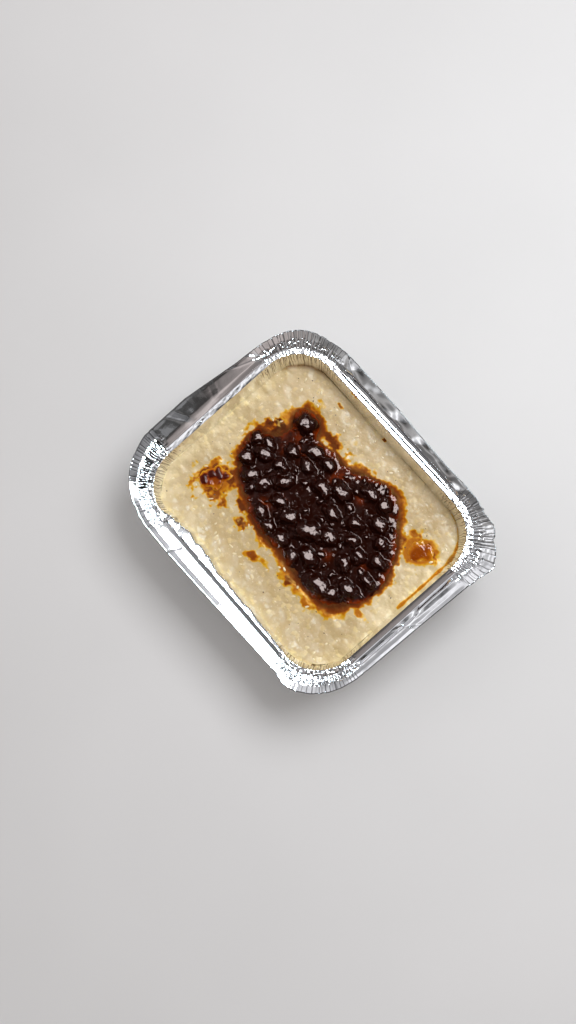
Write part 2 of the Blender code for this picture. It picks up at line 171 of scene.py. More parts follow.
# Mash
MASH_DEPTH = 9.3 * MM
MASH_SLOPE_Y = -0.022
GAP = 0.3 * MM
LUMP_SIZE = 5.0 * MM
LUMP_HEIGHT = 0.7 * MM
SWELL_SIZE = 24 * MM
SWELL_HEIGHT = 1.0 * MM
SMEAR_WIDTH = 13.0 * MM
SMEAR_HEIGHT = 2.0 * MM
SMEAR_LINE = -49 * MM
FLAT_MARGIN = 3.2 * MM
MASH_MESH = 0.42 * MM
GRAIN_SIZE = 2.3 * MM
GRAIN_HEIGHT = 0.20 * MM
FINE_GRAIN_SIZE = 1.15 * MM
FINE_GRAIN_HEIGHT = 0.07 * MM
TONE_PATCHES = ((0.28, 9 * MM, 41), (0.22, 3 * MM, 42))
MASH_TONES = ((0.2, (0.51, 0.37, 0.175)), (0.8, (0.635, 0.49, 0.27)))

# Sauce outlines on the mash, in mm
POOL = (
    (-40.5, 32.5), (-33, 34.5), (-28, 32), (-25, 27), (-19, 27.5), (-11, 29), (-4, 28.5), (4, 32.5),
    (12, 36), (21, 37.5), (29, 33.5), (37.5, 26), (44.5, 18.5), (49, 10), (52, 2), (51.5, -7), (48, -15.5),
    (42, -24), (35, -26), (26, -26.5), (16, -26), (8, -24), (-1, -24.5), (-9, -25.5), (-17, -23.5),
    (-25, -19.5), (-33, -17), (-41.5, -11.5), (-46.5, -5), (-49.5, 3), (-48.5, 9), (-41.5, 12),
    (-38.5, 20), (-41, 26),
)
LEFT_SPLASH = ((-50.5, -22), (-51, -28), (-46, -31.5), (-39, -27.5), (-38.5, -19.5), (-44, -17.5))
RIGHT_SPLASH = ((43.5, 27.5), (47.5, 20.5), (53.5, 22), (57.5, 29), (52.5, 34.5), (46.5, 31.5))

# Thin spots where the pool shows brown: (x, y, radius) in mm
GLIMPSES = (
    (-17.4, -14.2, 3.5), (-3.5, 22.2, 4.5), (-24.6, 17.5, 4.0), (-13.3, -5.8, 2.5), (-33, 21, 5.0),
    (12, 24, 3.5), (-32, 12, 3.0), (22, -8, 3.0), (38, 2, 3.0),
)

# Beads in the splashes: (x, y, radius) in mm. The height is a share of the radius.
LEFT_BEADS = (
    (-47.8, -28.3, 1.9), (-47.0, -23.8, 1.7), (-44.6, -21.0, 2.0), (-41.8, -19.0, 1.5), (-44.6, -27.4, 1.3),
    (-42.0, -24.0, 1.0), (-40.5, -27.8, 0.8),
)
RIGHT_BEADS = (
    (50.3, 28.5, 1.7), (52.9, 31.2, 1.4), (53.8, 27.6, 1.5), (49.4, 25.3, 1.6), (55.6, 30.2, 1.2),
    (47.5, 28.0, 1.1), (51.6, 24.4, 1.2), (48.6, 31.4, 0.9), (53.0, 24.8, 0.9),
)

LEFT_BEAD_HEIGHT = 0.34
RIGHT_BEAD_HEIGHT = 0.08

# Large chunks in the sauce: (x, y, half length, half width) in mm, and degrees from the X axis
CHUNKS = (
    (-34.5, 29.2, 4.6, 3.4, 0), (-45.5, 5.5, 3.0, 2.2, -18), (-38.5, 8.3, 3.8, 2.1, 7),
    (-35.5, 3.5, 4.0, 2.6, 5), (-41.5, -4.5, 3.4, 2.4, 10), (-33.0, -8.5, 3.8, 2.8, 30),
    (-19.5, 22.5, 4.8, 2.6, 11), (-10.5, 23.0, 3.6, 2.5, 0), (-18.8, 15.0, 4.4, 2.1, -10),
    (-26.0, -7.0, 3.6, 2.6, 49), (-18.5, 1.5, 4.6, 3.0, 49), (-4.0, 13.0, 4.6, 3.0, -3),
    (4.5, 18.8, 4.8, 3.2, 1), (-12.9, -7.0, 4.0, 2.4, 7), (14.1, 29.0, 4.8, 3.0, 10),
    (23.5, 30.0, 3.8, 2.8, -20), (-16.0, -17.5, 4.0, 2.6, 0), (-8.0, -19.5, 3.2, 2.4, -10),
    (-4.0, -8.5, 4.2, 3.0, 25), (7.0, -6.5, 6.0, 3.8, 38), (16.5, -0.5, 5.0, 3.2, 38),
    (9.5, 8.5, 4.2, 2.6, -3), (20.5, 14.0, 4.0, 2.6, 20), (25.5, 6.5, 3.6, 2.6, 10),
    (1.9, -18.6, 3.8, 2.8, 10), (17.3, -14.5, 4.4, 3.0, 2), (31.5, -3.5, 3.8, 2.4, -36),
    (42.5, 9.0, 4.4, 2.8, 12), (30.5, -20.0, 5.2, 3.2, 4), (42.0, -10.7, 4.6, 3.0, 14),
    (37.5, -18.0, 3.6, 2.4, 36), (45.5, -1.0, 3.6, 2.4, 10), (11.0, -20.5, 3.4, 2.4, 0),
    (36.0, 16.5, 3.8, 2.6, 5), (28.0, 21.8, 4.2, 2.8, 15), (-27.6, 14.0, 3.6, 2.6, 20),
    (-27.0, 5.0, 3.4, 2.4, 0), (33.5, 4.5, 3.4, 2.6, 20),
)
CHUNK_HEIGHT_SHARE = 0.75
CHUNK_SWELL = 1.15
CHUNK_TILT = 0.34
SMALL_LUMPS = 48
SMALL_LUMP_RADIUS = (0.6 * MM, 1.7 * MM)
SAUCE_MESH = 0.3 * MM
SHOULDER = 4.5 * MM
WRINKLE_SIZE = 2.4 * MM
WRINKLE_HEIGHT = 0.17 * MM
FILM_THICKNESS = 0.9 * MM
DROP_COUNT = 380
DROP_RADIUS = (0.2 * MM, 0.5 * MM)
# How the sauce's edge, its film, its lumps and its thin spots wander
EDGE_WARP = ((1.2 * MM, 3.6 * MM, 61), (0.6 * MM, 1.4 * MM, 62))
FILM_SWELL = ((0.4, 4.5 * MM, 69), (0.15, 2.2 * MM, 63))
LUMP_WARP_X = ((1.0 * MM, 3.2 * MM, 64), (0.45 * MM, 1.2 * MM, 65))
LUMP_WARP_Y = ((1.0 * MM, 3.2 * MM, 66), (0.45 * MM, 1.2 * MM, 67))
GLIMPSE_WARP = ((0.7, 2.6 * MM, 71), (0.35, 1.0 * MM, 72))
DIP = 0.8 * MM
THIN_EDGE = 4.4 * MM
# How dark the film is, and how much darker the lumps in it are
POOL_DARKNESS = (1, 0.2)
LEFT_DARKNESS = (0.6, 0.7)
RIGHT_DARKNESS = (0.58, 0.45)
# Colours from thin to thick: (thickness, colour)
DARK_SAUCE = (
    (0.0, (0.22, 0.026, 0.0)), (0.3, (0.14, 0.016, 0.0)), (0.55, (0.07, 0.008, 0.0)),
    (0.8, (0.028, 0.003, 0.0)), (1.0, (0.013, 0.0012, 0.0)),
)
BROWN_SAUCE = (
    (0.0, (0.60, 0.30, 0.012)), (0.35, (0.42, 0.11, 0.003)), (0.7, (0.16, 0.015, 0.001)),
    (1.0, (0.045, 0.004, 0.001)),
)

# Oily stains on the mash: (x, y, radius along x, radius along y) in mm, and strength
STAINS = (
    (-21, -29.5, 5.0, 4.0, 0.85), (-25, -24, 4.0, 4.0, 0.9), (-3.5, -36.3, 4.6, 3.6, 0.62),
    (3, -33, 6.0, 2.2, 0.42), (54, -15, 5.0, 2.2, 0.5), (-42, 17, 5.0, 6.5, 1.0),
    (-17, 31.5, 10.0, 5.0, 0.85), (2, 34, 8, 3.5, 0.62), (-36, -30.0, 6.0, 5.0, 0.62),
    (-46.0, -25, 8.5, 10.5, 0.75), (-38, -18, 5.5, 4.5, 0.8), (-50, -20, 4, 5, 0.5),
    (51, 28, 9.5, 9.0, 0.7), (43, 31, 4.0, 2.4, 0.55), (48.7, 15.2, 1.8, 1.8, 0.9),
    (50, 20.5, 3.0, 3.0, 0.55), (-29.6, 47.0, 2.8, 1.3, 0.75), (33, -31, 7.0, 3.0, 0.5),
    (56, 33, 3.6, 3.0, 0.5), (-10.7, 40.6, 2.4, 2.0, 0.16), (-45.3, 15.4, 3.4, 3.4, 1.0),
    (-48, 14, 3.5, 4.0, 0.8), (-45, 18, 3.0, 4.0, 1.0), (-36, 36, 5.0, 2.5, 0.6),
    (19, -30, 5.0, 2.6, 0.75), (14, -32, 4.5, 2.2, 0.45), (-2.2, 51.5, 1.0, 0.5, 0.9),
    (-67, -31, 1.6, 0.5, 0.9),
)
STAIN_WARP = ((0.5, 3.2 * MM, 21), (0.3, 1.1 * MM, 22))
# Colours of the oil, from faint to strong
OIL = (
    (0.0, (0.64, 0.46, 0.10)), (0.25, (0.62, 0.33, 0.004)), (0.45, (0.45, 0.13, 0.0)),
    (0.65, (0.19, 0.027, 0.0)), (1.0, (0.07, 0.008, 0.0)),
)
# A line of oil that follows the foot of the wall, in mm
OIL_LINE = (
    (48, 52.3), (54, 50.3), (60, 45.7), (63.3, 39), (64.6, 32), (64.7, 22), (64.7, 12), (64.6, 6), (64.4, 1),
)
OIL_LINE_WIDTH = 0.75 * MM
OIL_LINE_STRENGTH = 0.5
# The oily halos round the pool and the two splashes: (width, strength)
HALOS = ((5.4 * MM, 1.0), (4.86 * MM, 0.5), (3.24 * MM, 0.5))
# Width of the brown band where the mash meets the foil: partly oil, partly painted shade.
CONTACT_WIDTH = 1.0 * MM
PEPPER_COUNT = 90
PEPPER_RADIUS = (0.14 * MM, 0.34 * MM)
KERNEL_COUNT = 120

# The dim room round the tray: brightness by height, where 1 is straight up, and colour by side, from -X by -Y
SKY_BY_HEIGHT = (
    (0.0, 0.36), (0.35, 0.42), (0.5, 0.6), (0.66, 1.1), (0.78, 0.95), (0.86, 0.6), (0.93, 0.5),
    (0.965, 0.42), (0.985, 0.18),
)
SKY_BY_SIDE = (
    (0.0, (1.0, 0.99, 1.02)), (0.125, (1.2, 1.2, 1.22)), (0.195, (0.42, 0.41, 0.405)),
    (0.25, (0.38, 0.37, 0.365)), (0.375, (0.26, 0.24, 0.23)), (0.5, (0.58, 0.51, 0.49)),
    (0.625, (0.5, 0.5, 0.51)), (0.69, (0.45, 0.45, 0.46)), (0.72, (0.7, 0.7, 0.72)),
    (0.79, (0.7, 0.7, 0.72)), (0.83, (0.6, 0.6, 0.62)), (0.875, (0.7, 0.7, 0.72)),
    (1.0, (1.0, 0.99, 1.02)),
)

# Camera, from the tray's origin
CAMERA_PLACE = (95.99 * MM, -7.87 * MM, 666.55 * MM)
CAMERA_RIGHT = Vector((0.65501, 0.74819, -0.10568))
CAMERA_UP = Vector((-0.73867, 0.66348, 0.11898))
CAMERA_LENS = 45.7


# Random fields and outlines
TABLE = 256


def fade(share):
    """Smooth step from 0 to 1."""
    share = np.clip(share, 0, 1)
    return share * share * (3 - 2 * share)


def bell(at, middle, width, power=2):
    """1 in the middle, falling softly to 0 on both sides."""
    return np.exp(-(((at - middle) / width) ** power))


def blended(first, second, share):
    """A step from the first value towards the second."""
    return first + (second - first) * share


def looked_up(table, at):
    """The value at a place in a table of (place, value), on straight lines between its entries."""
    places, values = np.array(table).T
    return np.interp(at, places, values)


def field(x, y, size, seed):
    """Smooth random field from -1 to 1, with features of about this size. Each seed gives another field."""
    table = np.random.default_rng(seed).uniform(-1, 1, (TABLE, TABLE))
    u, v = x / size + TABLE / 2, y / size + TABLE / 2
    i, j = np.floor(u).astype(int), np.floor(v).astype(int)
    s, t = fade(u - i), fade(v - j)
    i, j, right, up = i % TABLE, j % TABLE, (i + 1) % TABLE, (j + 1) % TABLE
    low = table[i, j] * (1 - s) + table[right, j] * s
    high = table[i, up] * (1 - s) + table[right, up] * s
    return low * (1 - t) + high * t


def layered(x, y, layers):
    """The sum of several random fields. Each layer is (height, size, seed)."""
    return sum(height * field(x, y, size, seed) for height, size, seed in layers)


def cells(x, y, size, seed):
    """Distance to the nearest scattered point, as a share of the size, and that point's own number."""
    rng = np.random.default_rng(seed)
    jitter = rng.uniform(0.1, 0.9, (TABLE, TABLE, 2))
    number = rng.uniform(0, 1, (TABLE, TABLE))
    u, v = x / size + TABLE / 2, y / size + TABLE / 2
    i, j = np.floor(u).astype(int), np.floor(v).astype(int)
    nearest = np.full(u.shape, np.inf)
    owner = np.zeros(u.shape)
    for a in (-1, 0, 1):
        for b in (-1, 0, 1):
            column, row = (i + a) % TABLE, (j + b) % TABLE
            there_u = i + a + jitter[column, row, 0]
            there_v = j + b + jitter[column, row, 1]
            distance = np.hypot(u - there_u, v - there_v)
            owner = np.where(distance < nearest, number[column, row], owner)
            nearest = np.minimum(nearest, distance)
    return nearest, owner


def smooth_max(a, b, blend):
    """The higher of two surfaces, with a fillet where they meet."""
    return np.maximum(a, b) + np.clip(blend - np.abs(a - b), 0, None) ** 2 / (4 * blend)


def smooth_outline(control_mm, steps=4):
    """A closed Catmull-Rom curve through the control points, in metres."""
    b = np.array(control_mm) * MM
    a, c, d = np.roll(b, 1, axis=0), np.roll(b, -1, axis=0), np.roll(b, -2, axis=0)
    pieces = []
    for t in np.arange(steps) / steps:
        pieces.append(
            0.5 * (2 * b + (c - a) * t + (2 * a - 5 * b + 4 * c - d) * t**2 + (3 * b - a - 3 * c + d) * t**3)
        )
    return np.stack(pieces, axis=1).reshape(-1, 2)


def to_segment(x, y, a, b):
    """Distance to the straight line from a to b."""
    along = b - a
    share = np.clip(((x - a[0]) * along[0] + (y - a[1]) * along[1]) / along.dot(along), 0, 1)
    return np.hypot(a[0] + along[0] * share - x, a[1] + along[1] * share - y)


def depth_inside(x, y, outline):
    """Distance to a closed outline, positive inside it and negative outside."""
    nearest = np.full(x.shape, np.inf)
    inside = np.zeros(x.shape, bool)
    for a, b in zip(outline, np.roll(outline, -1, axis=0)):
        nearest = np.minimum(nearest, to_segment(x, y, a, b))
        if a[1] != b[1]:
            crossing = a[0] + (y - a[1]) * (b[0] - a[0]) / (b[1] - a[1])
            inside ^= ((a[1] > y) != (b[1] > y)) & (x < crossing)
    return np.where(inside, nearest, -nearest)


def distance_to_line(x, y, points_mm):
    """Distance to an open line through these points."""
    points = np.array(points_mm) * MM
    return np.min([to_segment(x, y, a, b) for a, b in zip(points[:-1], points[1:])], axis=0)


OUTLINES = [smooth_outline(shape) for shape in (POOL, LEFT_SPLASH, RIGHT_SPLASH)]


# Meshes
def mesh_object(name, points, faces, material, attributes=None):
    """A smooth-shaded mesh with named numbers on its points."""
    mesh = bpy.data.meshes.new(name)
    mesh.from_pydata(points.tolist(), [], [list(face) for face in faces])
    mesh.shade_smooth()
    mesh.materials.append(material)
    for key, values in (attributes or {}).items():
        layer = mesh.attributes.new(key, "FLOAT", "POINT")
        layer.data.foreach_set("value", values.astype(np.float32))
    made = bpy.data.objects.new(name, mesh)
    bpy.context.scene.collection.objects.link(made)
    return made


def grid_faces(rows, columns, wrap):
    """Quads of a grid of points numbered row by row, closed round the columns where asked."""
    row = np.arange(rows - 1)[:, None] * columns
    column = np.arange(columns if wrap else columns - 1)[None, :]
    following = (column + 1) % columns
    quads = np.stack((row + column, row + following, row + columns + following, row + columns + column), -1)
    return quads.reshape(-1, 4)


def joined_copies(name, subdivisions, places, material):
    """One mesh of many small balls. Each place is (centre, half sizes, turn about the vertical)."""
    bm = bmesh.new()
    bmesh.ops.create_icosphere(bm, subdivisions=subdivisions, radius=1)
    ball = np.array([vert.co for vert in bm.verts])
    triangles = np.array([[vert.index for vert in face.verts] for face in bm.faces])
    bm.free()
    points, faces = [], []
    for k, (centre, halves, turn) in enumerate(places):
        turned = np.array(Matrix.Rotation(turn, 3, "Z"))
        points.append((ball * halves) @ turned.T + centre)
        faces.append(triangles + k * len(ball))
    return mesh_object(name, np.concatenate(points), np.concatenate(faces), material)


# The tray
def walk_round():
    """Stations anticlockwise round a rounded rectangle, close together in the corners."""
    signs = ((1, 1), (-1, 1), (-1, -1), (1, -1))
    sides = (LONG_STEPS, SHORT_STEPS, LONG_STEPS, SHORT_STEPS)
    rows = []
    for i, here in enumerate(signs):
        following = signs[(i + 1) % 4]
        for share in np.arange(CORNER_STEPS + 1) / CORNER_STEPS:
            rows.append((i + CORNER_SHARE * share, *here, *here, 0, 90 * (i + share), 0))
        length = (RIM_X if i % 2 == 0 else RIM_Y) - 2 * RIM_CORNER
        for share in np.arange(1, sides[i]) / sides[i]:
            beyond = min(share, 1 - share) * length
            turn = i + CORNER_SHARE + (1 - CORNER_SHARE) * share
            rows.append((turn, *here, *following, share, 90 * (i + 1), beyond))
    rows = np.array(rows)
    angle = np.radians(rows[:, 6])
    rim = SimpleNamespace(
        turn=rows[:, 0], here=rows[:, 1:3], following=rows[:, 3:5], share=rows[:, 5:6],
        out=np.stack((np.cos(angle), np.sin(angle)), -1), corner=fade(1 - rows[:, 7] / PLEAT_FADE),
        near_corner=fade(1.2 - rows[:, 7] / WRINKLE_FADE),
    )
    line = ring(rim, *wall_sizes(LEDGE_Z))
    rim.arc = np.concatenate(([0], np.cumsum(np.linalg.norm(np.diff(line, axis=0), axis=1))))
    rim.length = rim.arc[-1] + np.linalg.norm(line[0] - line[-1])
    return rim


def ring(rim, half_x, half_y, corner):
    """The stations' places on a rounded rectangle of these half sides and corner radius."""
    inset = np.array((half_x - corner, half_y - corner))
    first = rim.here * inset
    second = rim.following * inset
    return first + (second - first) * rim.share + rim.out * corner


def wall_sizes(z):
    """Half sides and corner radius of the tray's inside at this height."""
    share = (z - FOIL) / (LEDGE_Z - FOIL)
    half_x = (BASE_X + (RIM_X - BASE_X) * share) / 2
    half_y = (BASE_Y + (RIM_Y - BASE_Y) * share) / 2
    return half_x, half_y, BASE_CORNER + (RIM_CORNER - BASE_CORNER) * share


def pleats(rim, pitch, seed, across=0.0):
    """Wandering folds along the rim: each station's place in its fold, the fold's width and its number."""
    rng = np.random.default_rng(seed)
    widths = rng.uniform(0.45, 1.55, round(rim.length / pitch))
    edges = np.concatenate(([0], np.cumsum(widths))) * rim.length / widths.sum()
    numbers = rng.uniform(0, 1, len(widths))
    wander = field(rim.arc, across, PLEAT_WANDER, seed)
    arc = (rim.arc + 0.4 * pitch * wander) % rim.length
    at = np.clip(np.searchsorted(edges, arc, side="right") - 1, 0, len(widths) - 1)
    width = edges[at + 1] - edges[at]
    return (arc - edges[at]) / width, width, numbers[at]


def tents(rim, pitch, seed, across=0.0):
    """Sharp folds of uneven height: 0 in the valleys, up to 1 on the ridges."""
    place, _, number = pleats(rim, pitch, seed, across)
    return (0.25 + 0.75 * number) * (1 - np.abs(2 * place - 1))


def slits(rim, pitch, seed, across=0.0, slit_width=SLIT_WIDTH):
    """Thin lines between broad flat folds: 1 on a line, 0 elsewhere, and each fold's own number."""
    place, width, number = pleats(rim, pitch, seed, across)
    return np.clip(1 - place * width / slit_width, 0, 1) ** 0.5, number


def ridges(rim, across, seed):
    """Crumpled ridges at the scale of the crimps, from -1 to 1."""
    return 1 - 2.6 * np.abs(field(rim.arc, across, RIDGE_SIZE, seed))


def crumple(rim, across, seed):
    """Dents and sharp creases in the foil, in metres, by place along and across the rim."""
    turns, dent_shares, crease_shares = np.array(WEAR).T
    dents = DENT_DEPTH * field(rim.arc, 1.6 * across, DENT_SIZE, seed)
    facets, _ = cells(rim.arc, 1.3 * across, CREASE_SIZE, seed + 1)
    fine, _ = cells(rim.arc, across, 0.35 * CREASE_SIZE, seed + 2)
    creases = CREASE_DEPTH * (facets - 0.4 + 0.2 * (fine - 0.4))
    dents = dents * np.interp(rim.turn, turns, dent_shares)
    return dents + creases * np.interp(rim.turn, turns, crease_shares)


def lifted(flat, z):
    """Plan points with their heights."""
    return np.column_stack((flat, np.broadcast_to(z, len(flat))))


def wall_wrinkles(rim, z):
    """Thin dark wrinkles in the corners' walls, from 0 to 1. Each has its own length."""
    line, number = slits(rim, PLEAT_PITCH, SEED, 0.5 * z, WRINKLE_WIDTH)
    below = LEDGE_Z - z
    reach = np.clip(1.5 - below / (WRINKLE_LENGTH * (0.35 + number)), 0, 1)
    return line * reach * rim.near_corner * fade(below / (0.6 * MM))


def pushed_in(rim):
    """How far the -Y wall is pushed in below its shoulder."""
    x = ring(rim, *wall_sizes(LEDGE_Z))[:, 0] / MM
    waves = 1 + layered(rim.arc, 0, PUSHED_WAVES)
    return looked_up(PUSHED_IN, x) * MM * stretch(rim, NEAR_SIDE) * waves


def wall_row(rim, z, inside):
    """One ring of points on the wall's inside or outside."""
    top = fade((z - WALL_FOLDS_FROM) / (LEDGE_Z - WALL_FOLDS_FROM))
    fold = 0.5 * WALL_PLEAT * top * rim.corner * tents(rim, BROAD_PITCH, SEED + 4, z)
    fold += WALL_PLEAT * top * (wall_wrinkles(rim, z) + 0.3 * rim.corner)
    if not inside:
        return lifted(ring(rim, *wall_sizes(z)) + rim.out * (fold + FOIL)[:, None], z)
    soft = WALL_WAVE * top * (1 - rim.corner) * (1 + field(rim.arc, z, WALL_WAVE_LENGTH, 31))
    depth = pushed_in(rim)
    lean = SHOULDER_LEAN * stretch(rim, NEAR_SIDE)
    below = LEDGE_Z - z
    share = np.clip(below / (SHOULDER_SLOPE * (lean + depth) + SHOULDER_EDGE), 0, 1)
    deep = 1 - fade((below - PUSHED_HEIGHT) / PUSHED_FADE)
    shoulder = lean - (lean + depth * deep) * share
    return lifted(ring(rim, *wall_sizes(z)) + rim.out * (fold + soft + shoulder)[:, None], z)


def flange_sizes(rim):
    """Reach and rise of the flange at every station, in metres, with teeth in the corners."""
    turns, reaches, rises = np.array(FLANGE).T
    reach = np.interp(rim.turn, turns, reaches) * MM - 1.3 * HEM_RADIUS
    rise = np.interp(rim.turn, turns, rises) * MM
    _, _, number = pleats(rim, TOOTH_PITCH, SEED + 2)
    teeth = TOOTH * (0.3 + 0.7 * bell(rim.turn, *SPLAYED_CORNER)) * rim.corner * (number**2)
    return reach - teeth, rise


def stretch(rim, limits):
    """1 on a stretch of the rim and 0 elsewhere, with soft ends."""
    start, end, start_width, end_width = limits
    return fade((rim.turn - start) / start_width) * fade((end - rim.turn) / end_width)


def folds_across(rim, share):
    """Single sharp folds across the flange, in metres, at this share of its reach."""
    bent = np.zeros(len(rim.arc))
    for turn_in, turn_out, height, width in FLANGE_FOLDS:
        place = np.interp(turn_in + (turn_out - turn_in) * share, rim.turn, rim.arc)
        bent += height * MM * np.exp(-np.abs(rim.arc - place) / (width * MM))
    return bent


def flange_section(rim, share):
    """Height of the flange at this share of its reach, as a share of its rise."""
    corner = looked_up(CORNER_SECTION, share)
    corner = blended(corner, looked_up(LOW_CORNER_SECTION, share), stretch(rim, LOW_CORNER))
    section = blended(looked_up(FLANGE_SECTION, share), corner, rim.corner)
    bend = fade((NEAR_BEND_END - rim.turn) / 0.3)
    near = NEAR_RISE * blended(share, looked_up(NEAR_SECTION, share), bend)
    section = blended(section, near, stretch(rim, NEAR_SIDE))
    section = blended(section, looked_up(FAR_SECTION, share), stretch(rim, FAR_SIDE))
    stepped = looked_up(STEPPED_SECTION, share)
    stepped = blended(stepped, looked_up(FLAT_SECTION, share), stretch(rim, FLAT_HALF))
    return blended(section, stepped, stretch(rim, STEPPED_SIDE))


def ledge_crimps(rim, place, across):
    """Heights of the crimps on the ledge, of the tops of the wall's pleats and of the ribs, in metres."""
    on_ledge = min(place, 1)
    share = max(place - 1, 0)
    short_side = bell(rim.turn, *CRIMPED_SIDE, power=4)
    height = LEDGE_CRIMP * math.sin(math.pi * on_ledge)
    folds = tents(rim, PLEAT_PITCH, SEED + 1, across) - 0.4
    crimp = (rim.corner + 0.3 * short_side) * height * folds
    crimp += (0.9 * rim.corner + 0.3 * short_side) * height * ridges(rim, across, 36)
    slanted = field(rim.arc + 1.3 * across, across, SLANTED_FOLD, 43)
    crimp += 0.9 * short_side * height * slanted
    line, _ = slits(rim, PLEAT_PITCH, SEED, 0.5 * LEDGE_Z)
    crimp -= rim.corner * 0.5 * WALL_PLEAT * max(0, 1 - 3 * place) * line
    rib, *shape = FAR_RIB
    crimp += stretch(rim, FAR_SIDE) * rib * bell(on_ledge, *shape) * (1 - fade(share / 0.1))
    rib, *shape = NEAR_RIB
    uneven = 0.5 + field(rim.arc, 0, NEAR_RIB_LENGTH, 44)
    return crimp + rib * bell(on_ledge, *shape) * (1 - share) * stretch(rim, NEAR_SIDE) * uneven


def flange_crimps(rim, share, across, reach):
    """Heights in the flange's corners: a crimped ring, and slits between the teeth outside it, in metres."""
    inner = fade(share / 0.08) * (1 - fade((share - 0.45) / 0.16))
    outer = fade((share - 0.36) / 0.2)
    folds = 0.6 * ridges(rim, across + 1.3 * reach.mean() * share, 37)
    folds += 2.2 * tents(rim, RING_PITCH, SEED + 3, across)
    crimp = looked_up(ROUGHNESS, rim.turn) * INNER_CRIMP * inner * (folds - 0.7)
    splay = bell(rim.turn, *SPLAYED_CORNER)
    crimp += 0.15 * INNER_CRIMP * splay * outer * ridges(rim, 0.35 * across + 9 * MM * share, 38)
    depth = OUTER_SLIT * (0.25 + splay + 0.7 * bell(rim.turn, *SLIT_CORNER))
    line, _ = slits(rim, TOOTH_PITCH, SEED + 2, 0.3 * across, OUTER_SLIT_WIDTH)
    return rim.corner * (crimp - depth * outer * line)


def flange_bends(rim, share, across, offset):
    """Heights of the flange's dents, creases, single folds and waves, in metres."""
    far_side = stretch(rim, FAR_SIDE)
    pinned = fade(2.5 * (share - 0.15 * far_side)) * (1 - 0.75 * fade((share - 0.6) / 0.4))
    bent = crumple(rim, offset.mean(), 50) * pinned
    bent += folds_across(rim, share) * fade(share * 4) * (1 - 0.4 * share)
    waves = layered(rim.arc + 0.6 * across, 1.1 * across, FAR_WAVES)
    return bent + far_side * waves * pinned


def rim_row(rim, place, skin):
    """One ring of points over the ledge (place 0 to 1) or the flange (place 1 to 2), less the skin."""
    on_ledge = min(place, 1)
    share = max(place - 1, 0)
    reach, rise = flange_sizes(rim)
    near_side = stretch(rim, NEAR_SIDE)
    start = SHOULDER_LEAN * near_side
    offset = start + (LEDGE_WIDTH - start) * on_ledge + reach * share
    across = LEDGE_WIDTH * place
    drop_end = 0.1 * stretch(rim, FAR_SIDE) + 0.3 * stretch(rim, FLAT_HALF)
    drop = LEDGE_DROP * (1 - near_side) * (on_ledge**1.5) * (1 - fade((share - drop_end) / DROP_FADE))
    crimp = ledge_crimps(rim, place, across) + flange_crimps(rim, share, across, reach)
    bent = flange_bends(rim, share, across, offset)
    z = LEDGE_Z - drop + rise * flange_section(rim, share) + crimp + bent - skin
    z = np.minimum(z, LEDGE_Z + HIGHEST_FOLD)
    return lifted(ring(rim, *wall_sizes(LEDGE_Z)) + rim.out * offset[:, None], z)


def fold_shade(rim, place):
    """Painted shade on the foil, from 0 to 1, deep in its folds and along the +Y ledge's crease, on the ledge
    or the flange.
    """
    across = LEDGE_WIDTH * place
    share = max(place - 1, 0)
    inner = fade(share / 0.08) * (1 - fade((share - 0.42) / 0.12))
    outer = fade((share - 0.4) / 0.15)
    deep = [
        np.clip(1 - tents(rim, pitch, seed, across) / SHADED_FOLD, 0, 1)
        for pitch, seed in ((RING_PITCH, SEED + 3), (PLEAT_PITCH, SEED + 1))
    ]
    line, _ = slits(rim, TOOTH_PITCH, SEED + 2, 0.3 * across, OUTER_SLIT_WIDTH)
    near_ledge = 1 - fade(share / 0.05)
    in_ring = inner * deep[0] + 0.75 * fade(place / 0.15) * near_ledge * deep[1]
    folds = rim.corner * ((0.45 + 0.55 * stretch(rim, LOW_CORNER)) * in_ring + 0.5 * outer * line)
    return folds + stretch(rim, FAR_SIDE) * bell(min(place, 1), *FAR_CREASE) * near_ledge


def hem_rows(rim):
    """The rolled edge of the flange, over the top and round to the underside."""
    edge = rim_row(rim, 2, 0)
    rows = []
    for degrees in np.linspace(75, -110, 8):
        out = HEM_RADIUS * math.cos(math.radians(degrees))
        up = HEM_RADIUS * (math.sin(math.radians(degrees)) - 0.8)
        rows.append(edge + np.column_stack((rim.out * out, np.full(len(edge), up))))
    return rows


def build_tray(material):
    """The foil in two pieces: the tray below the ledge, and the ledge with its opened flange."""
    rim = walk_round()
    return build_walls(rim, material), build_flange(rim, material)


def build_walls(rim, material):
    """The floor and the walls, up the inside and down the outside."""
    count = len(rim.arc)
    foot = FOIL + BASE_ROUNDING
    heights = np.concatenate((np.linspace(foot, 22 * MM, 4), np.linspace(23 * MM, LEDGE_Z, 30)))
    flat = ring(rim, *(size - BASE_ROUNDING for size in wall_sizes(FOIL)))
    inner = [lifted(flat, FOIL)] + [wall_row(rim, z, True) for z in heights]
    outer = [wall_row(rim, z, False) for z in np.linspace(LEDGE_Z - 0.4 * MM, foot, 10)] + [lifted(flat, 0)]
    rows = inner + outer
    unmarked = 0 * rim.arc
    # Dark brown lines along the wrinkles in the walls' corners: partly mash residue, partly painted shade in
    # the creases.
    wrinkle_shade_and_residue = [unmarked] + [wall_wrinkles(rim, z) for z in heights] + [unmarked] * len(outer)
    faces = grid_faces(len(rows), count, True).tolist()
    faces.append(list(range(count))[::-1])
    faces.append(list(range((len(rows) - 1) * count, len(rows) * count)))
    attributes = {"wrinkle_shade_and_residue": np.concatenate(wrinkle_shade_and_residue)}
    return mesh_object("foil_tray_walls", np.concatenate(rows), faces, material, attributes)


